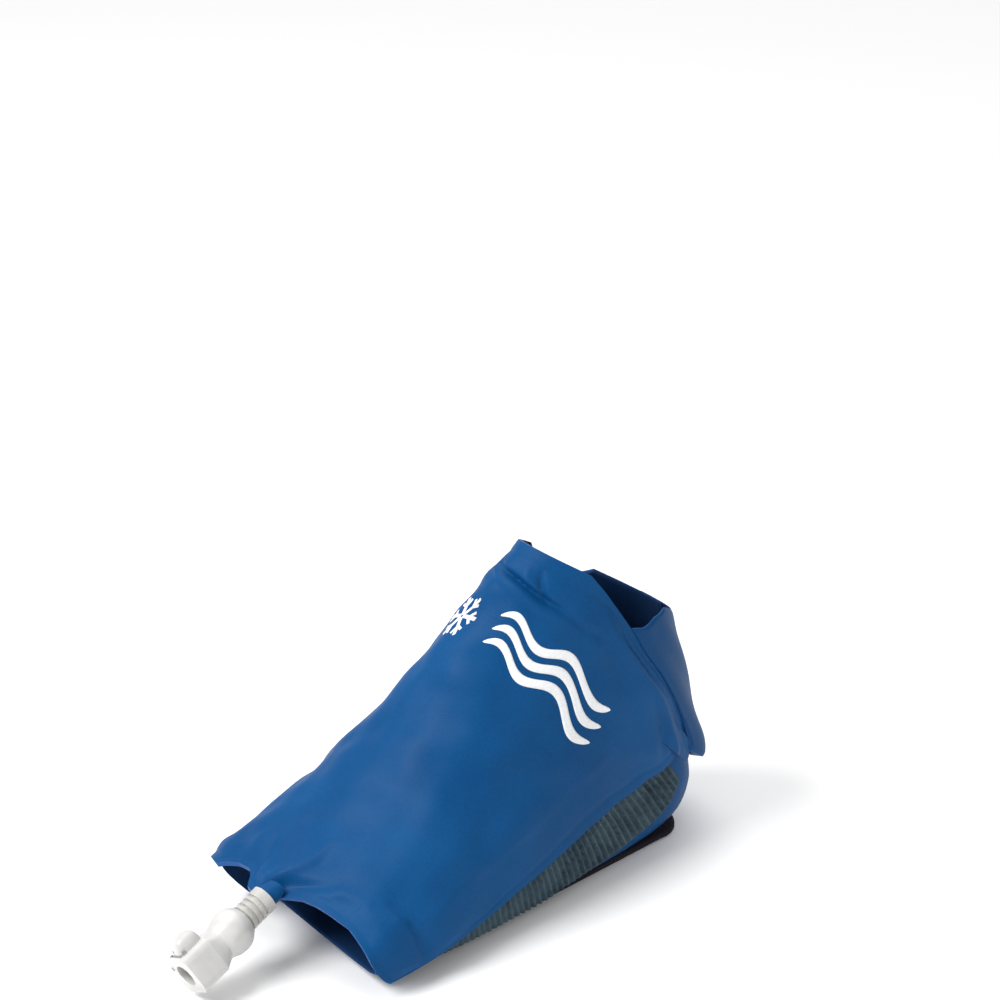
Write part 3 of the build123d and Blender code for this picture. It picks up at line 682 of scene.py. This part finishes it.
lateral_hook = strip(
    "lateral_wing_hook_tape", steps(0.80, 0.97, 30),
    lambda u: (164 + 0 * u, 195 + 0 * u), lambda u: ((2.3, 2.3), (2.6, 2.6)),
    (hook, hook, hook), 24)
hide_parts("lateral_wing_hook")
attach(lateral_hook, "lateral_wing")
medial_loop = strip(
    "medial_wing_loop_tape", steps(0.80, 0.97, 30),
    lambda u: (-195 + 0 * u, -156 + 0 * u), lambda u: ((3.2, 3.2), (3.9, 3.9)),
    (pad_pile, pad_pile, pad_pile), 24)
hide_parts("medial_wing_loop")
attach(medial_loop, "medial_wing")

# ---------------------------------------------------------------- sole strap
STRAP_T = 2.4
STRAP_FRONT, STRAP_REAR = -76, 44
TAIL_FROM, TAIL_LENGTH = 74, 17


def strap_sides(y):
    """Left and right edges of the strap at each y, mm."""
    along = np.clip((y - STRAP_FRONT) / (STRAP_REAR - STRAP_FRONT), 0, 1)
    body_half = 34 - 10 * along - 3 * np.clip((y - STRAP_REAR) / 32, 0, 1)
    middle = 5 - along
    tail = np.clip((y - TAIL_FROM) / TAIL_LENGTH, 0, 1)
    half = np.where(y > TAIL_FROM, 21.2 * (1 - tail**2.6) ** 0.5, body_half)
    corner = np.clip((y - STRAP_FRONT) / 10, 0, 1)
    half = half - 10 * (1 - np.sqrt(np.maximum(1 - (1 - corner) ** 2, 0)))
    return middle - half + 1.5, middle + half + 2.6


tail_turn = np.linspace(0, math.pi / 2 * 0.985, 26)
strap_y = np.concatenate((
    np.linspace(STRAP_FRONT, STRAP_FRONT + 10, 10), np.linspace(STRAP_FRONT + 12, 72, 90),
    TAIL_FROM + TAIL_LENGTH * np.sin(tail_turn)))[:, None]
strap_share = np.linspace(0, 1, 41)[None, :]
strap_low, strap_high = strap_sides(strap_y)
strap_x = strap_low + (strap_high - strap_low) * strap_share
strap_rim = np.minimum(strap_x - strap_low, strap_high - strap_x)
strap_soft = 0.5 * (1 - smooth(strap_rim, 0, 1.4))
strap_top = STRAP_T - strap_soft + 0.12 * np.sin(strap_y * 1.9) * smooth(strap_rim, 1, 3)
wide_y = strap_y + 0 * strap_x
strap_upper = np.stack((strap_x, wide_y, strap_top), axis=-1) * MM
strap_under = np.stack((strap_x, wide_y, strap_soft), axis=-1) * MM
strap = shell("sole_strap_webbing", strap_upper, strap_under, (webbing, webbing, webbing),
              uv=np.stack((strap_x, wide_y), axis=-1) * MM)
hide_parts("sole_strap", "strap_tail")
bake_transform(strap)

# ---------------------------------------------------------------- spout neck
SPOUT = Vector((-1.5, -104.2, 27.5)) * MM
AXIS = Vector((7.65, -44.8, -16.5)).normalized()
straight_up = (Vector((0, 0, 1)) - AXIS * AXIS.z).normalized()
BUTTON = Matrix.Rotation(math.radians(30), 3, AXIS) @ straight_up
ACROSS = AXIS.cross(BUTTON)


def along_axis(distance, x, y):
    """Point on the coupling: distance from the spout, x to the button, y across; mm."""
    return SPOUT + AXIS * distance * MM + BUTTON * x * MM + ACROSS * y * MM


def turned(name, profile, material, count, squeeze):
    """Closed ring turned round the coupling's axis. Profile is (distance, radius) pairs,
    and squeeze moves each point of a section."""
    points, faces = [], []
    size = len(profile)
    for k in range(count):
        turn = 2 * math.pi * k / count
        for distance, radius in profile:
            x, y = squeeze(distance, radius * math.cos(turn), radius * math.sin(turn))
            points.append(along_axis(distance, x, y))
    for k in range(count):
        for i in range(size):
            a, b = k * size + i, k * size + (i + 1) % size
            c, d = ((k + 1) % count) * size + (i + 1) % size, ((k + 1) % count) * size + i
            faces.append((a, d, c, b))
    thing = make_mesh(name, points, faces, (material,))
    sharpen(thing, 40)
    return thing


def neck_shape(distance, x, y):
    """The neck flattens where it runs in between the two plies."""
    spread = max(0.0, -distance) / 6.0
    return x * (1 - 0.12 * spread) - 0.3 * spread, y * (1 + 0.35 * spread)


neck = turned("spout_neck", (
    (-6.0, 4.3), (-4.5, 4.4), (-3.0, 4.5), (-1.5, 4.5), (0.0, 4.45), (1.5, 4.5), (2.6, 4.4),
    (2.9, 4.0), (2.6, 3.5), (1.0, 3.4), (-1.0, 3.4), (-4.0, 3.5), (-6.0, 3.6)), nylon, 56,
    neck_shape)
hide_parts("spout_sleeve")
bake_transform(neck)


# ---------------------------------------------------------------- nut and thumb button
def nut_shape(distance, x, y):
    """Four shallow gripping flats round the bulb, with soft corners."""
    if not 15.0 < distance < 25.5:
        return x, y
    radius, turn = math.hypot(x, y), math.atan2(y, x) + 0.5
    quarter = (turn + math.pi / 4) % (math.pi / 2) - math.pi / 4
    flat = 8.75 / max(math.cos(quarter), 0.1)
    kept = -math.log(math.exp(-radius * 4) + math.exp(-flat * 4)) / 4 if radius > 6.5 else radius
    return x * kept / radius, y * kept / radius


nut = turned("union_nut_bulb", (
    (12.9, 3.4), (12.9, 6.0), (13.2, 6.5), (14.0, 7.0), (15.0, 7.9), (16.2, 8.7), (17.6, 9.2),
    (19.2, 9.45), (20.8, 9.4), (22.4, 9.2), (23.8, 8.8), (25.0, 8.2), (25.9, 7.9), (26.5, 7.75),
    (26.9, 7.5), (26.9, 6.25), (17.2, 6.25), (17.2, 3.4)), white, 96, nut_shape)
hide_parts("union_nut")
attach(nut, "coupling")


def lobe(name, centre, half_size, powers, material, rings=28, count=48):
    """Rounded block on the coupling: sizes along it, towards the button, and across; mm."""
    points, faces = [], []
    for i in range(rings + 1):
        tilt = math.pi * (i / rings - 0.5)
        for k in range(count):
            turn = 2 * math.pi * k / count
            raw = (math.sin(tilt), math.cos(tilt) * math.cos(turn), math.cos(tilt) * math.sin(turn))
            shaped = [math.copysign(abs(value) ** power, value) * size
                      for value, power, size in zip(raw, powers, half_size)]
            points.append(along_axis(centre[0] + shaped[0], centre[1] + shaped[1], shaped[2]))
    for i in range(rings):
        for k in range(count):
            a, b = i * count + k, i * count + (k + 1) % count
            faces.append((a, a + count, b + count, b))
    faces.append(tuple(range(count)))
    faces.append(tuple(reversed(range(rings * count, (rings + 1) * count))))
    thing = make_mesh(name, points, faces, (material,))
    sharpen(thing, 60)
    return thing


button = lobe("thumb_button_lobe", (37.2, 7.6), (5.6, 6.6, 6.0), (0.62, 0.72, 0.5), white)
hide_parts("thumb_button")
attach(button, "latch")
hinge_dot = lobe("button_pin_end", (42.3, 10.2), (0.5, 0.75, 0.75), (1, 1, 1), pin_metal, 10, 20)
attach(hinge_dot, "latch")

# ---------------------------------------------------------------- finishes of the CAD parts
FINISHES = {
    "inlet_tube": tube, "clamp_collar": milky, "coupling_stem": white,
    "coupling_body": white, "latch_pin": pin_metal, "latch_spring": spring_wire,
    "valve_seat": white, "valve_spring": spring_wire, "socket_seal": rubber,
    "latch_plate": plate_steel, "valve_poppet": white, "poppet_seal": rubber,
}
for name, material in FINISHES.items():
    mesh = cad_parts[name].data
    mesh.materials.clear()
    mesh.materials.append(material)

# ---------------------------------------------------------------- printed mark
MARK_PLACE = 0.70             # the mark's middle line lies at this place
MARK_RISE = 0.03              # and bends towards the ankle at its middle
MARK_START = -20              # angle where the mark begins
MARK_LENGTH = 66              # mm
MARK_PER_DEGREE = 0.70        # mm round the section for one degree, up there
MARK_RUN = 130.0              # mm for one unit of place, up there
WAVE_LENGTH = 21.0            # mm
BAND_ROWS = 5
INK_ABOVE, INK_BELOW = 0.16, 0.10   # mm over and under the face of the cloth
FLAKE_CENTRE = (9.0, 0.5)     # mm


def on_print(a, b):
    """Point on the panel at a mm along the mark and b mm towards the ankle."""
    v = MARK_START + a / MARK_PER_DEGREE
    u = MARK_PLACE + MARK_RISE * np.sin(np.pi * a / MARK_LENGTH) + b / MARK_RUN
    return u, v


def ink_layer(name, a, b):
    """White ink, lying on the folds of the cloth, at a grid of points of the mark."""
    u, v = on_print(a, b)
    lift = ripple(u, v) + crease_height(u, v)
    base = form(u, v) + outward(u, v) * (lift * MM)[..., None]
    return shell(name, base + outward(u, v) * INK_ABOVE * MM,
                 base - outward(u, v) * INK_BELOW * MM, (ink, ink, ink))


def wave_band(name, start, end, middle, half):
    """A wavy band from start to end along the mark, with tapered ends."""
    a = np.linspace(start, end, 60)
    swell = 2.4 * np.sin((a - start) * 2 * math.pi / WAVE_LENGTH)
    taper = np.sqrt(np.clip(1 - ((a - (start + end) / 2) / ((end - start) / 2)) ** 6, 0.02, 1))
    low = (middle + swell - half * taper)[None, :]
    high = (middle + swell + half * taper)[None, :]
    row = np.arange(BAND_ROWS)[:, None]
    return ink_layer(name, a[None, :] + 0 * row, low + (high - low) * (row / (BAND_ROWS - 1)))


marks = [
    wave_band("mark_wave_low", 26, 68, -4.8, 1.5),
    wave_band("mark_wave_middle", 26, 68, 0.4, 1.5),
    wave_band("mark_wave_high", 26, 68, 5.6, 1.5),
]


def flake_arm(name, turn):
    """One arm of a six-armed ice flake: a bar with two side barbs, a piece each."""
    pieces = []
    c, s = math.cos(turn), math.sin(turn)
    for x0, y0, x1, y1, half in ((0.6, 0, 8.6, 0, 0.75), (4.6, 0, 6.9, 2.3, 0.6),
                                 (4.6, 0, 6.9, -2.3, 0.6)):
        length = math.hypot(x1 - x0, y1 - y0)
        dx, dy = (x1 - x0) / length, (y1 - y0) / length
        grid_a, grid_b = [], []
        for side in np.linspace(-half, half, 4):
            t = np.linspace(0, length, 12)
            x, y = x0 + dx * t - dy * side, y0 + dy * t + dx * side
            grid_a.append(FLAKE_CENTRE[0] + x * c - y * s)
            grid_b.append(FLAKE_CENTRE[1] + x * s + y * c)
        pieces.append(ink_layer(name + str(len(pieces)), np.array(grid_a), np.array(grid_b)))
    return pieces


for k in range(6):
    marks += flake_arm(f"mark_flake_{k}_", k * math.pi / 3)
for mark in marks:
    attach(mark, "wrap")

# ---------------------------------------------------------------- floor, lights, camera
floor_mesh = bpy.data.meshes.new("floor")
FLOOR, FLOOR_Z = 4.0, -0.0004
floor_mesh.from_pydata([(-FLOOR, -FLOOR, FLOOR_Z), (FLOOR, -FLOOR, FLOOR_Z),
                        (FLOOR, FLOOR, FLOOR_Z), (-FLOOR, FLOOR, FLOOR_Z)], [], [(0, 1, 2, 3)])
floor = bpy.data.objects.new("floor", floor_mesh)
bpy.context.scene.collection.objects.link(floor)
pale = bpy.data.materials.new("pale_floor")
pale.use_nodes = True
pale_shader = pale.node_tree.nodes["Principled BSDF"]
pale_shader.inputs["Base Color"].default_value = (0.97, 0.97, 0.97, 1)
pale_shader.inputs["Roughness"].default_value = 0.9
floor_mesh.materials.append(pale)

world = bpy.data.worlds.new("studio")
world.use_nodes = True
backdrop = world.node_tree.nodes["Background"]
backdrop.inputs["Color"].default_value = (1, 1, 1, 1)
backdrop.inputs["Strength"].default_value = 0.50
bpy.context.scene.world = world

TARGET = Vector((0.006, 0.005, 0.170))
BACK = Vector((0.7202, -0.5526, 0.4195))
RIGHT = Vector((0.6087, 0.7934, 0.0))
LIT = Vector((0, 0, 0.06))    # the softboxes point at the middle of the wrap


def softbox(name, place, size, power):
    light = bpy.data.lights.new(name, "AREA")
    light.shape = "DISK"
    light.size = size
    light.energy = power
    lamp = bpy.data.objects.new(name, light)
    lamp.location = place
    aim = LIT - lamp.location
    lamp.rotation_euler = aim.to_track_quat("-Z", "Y").to_euler()
    bpy.context.scene.collection.objects.link(lamp)


softbox("key_softbox", BACK * 0.35 - RIGHT * 0.80 + Vector((0, 0, 0.85)), 0.7, 15)
softbox("fill_softbox", BACK * 1.1 + RIGHT * 0.9 + Vector((0, 0, 0.2)), 1.2, 3)
overhead = bpy.data.lights.new("overhead", "SUN")
overhead.energy = 1.4
overhead.angle = math.radians(60)
overhead_lamp = bpy.data.objects.new("overhead", overhead)
overhead_lamp.rotation_euler = (math.radians(-20), math.radians(-25), 0)
bpy.context.scene.collection.objects.link(overhead_lamp)
bpy.context.scene.view_settings.view_transform = "Standard"

camera = bpy.data.cameras.new("camera")
camera.lens = 92.9
camera.sensor_width = 36
viewer = bpy.data.objects.new("camera", camera)
viewer.location = TARGET + BACK
viewer.rotation_euler = BACK.to_track_quat("Z", "Y").to_euler()
bpy.context.scene.collection.objects.link(viewer)
bpy.context.scene.camera = viewer
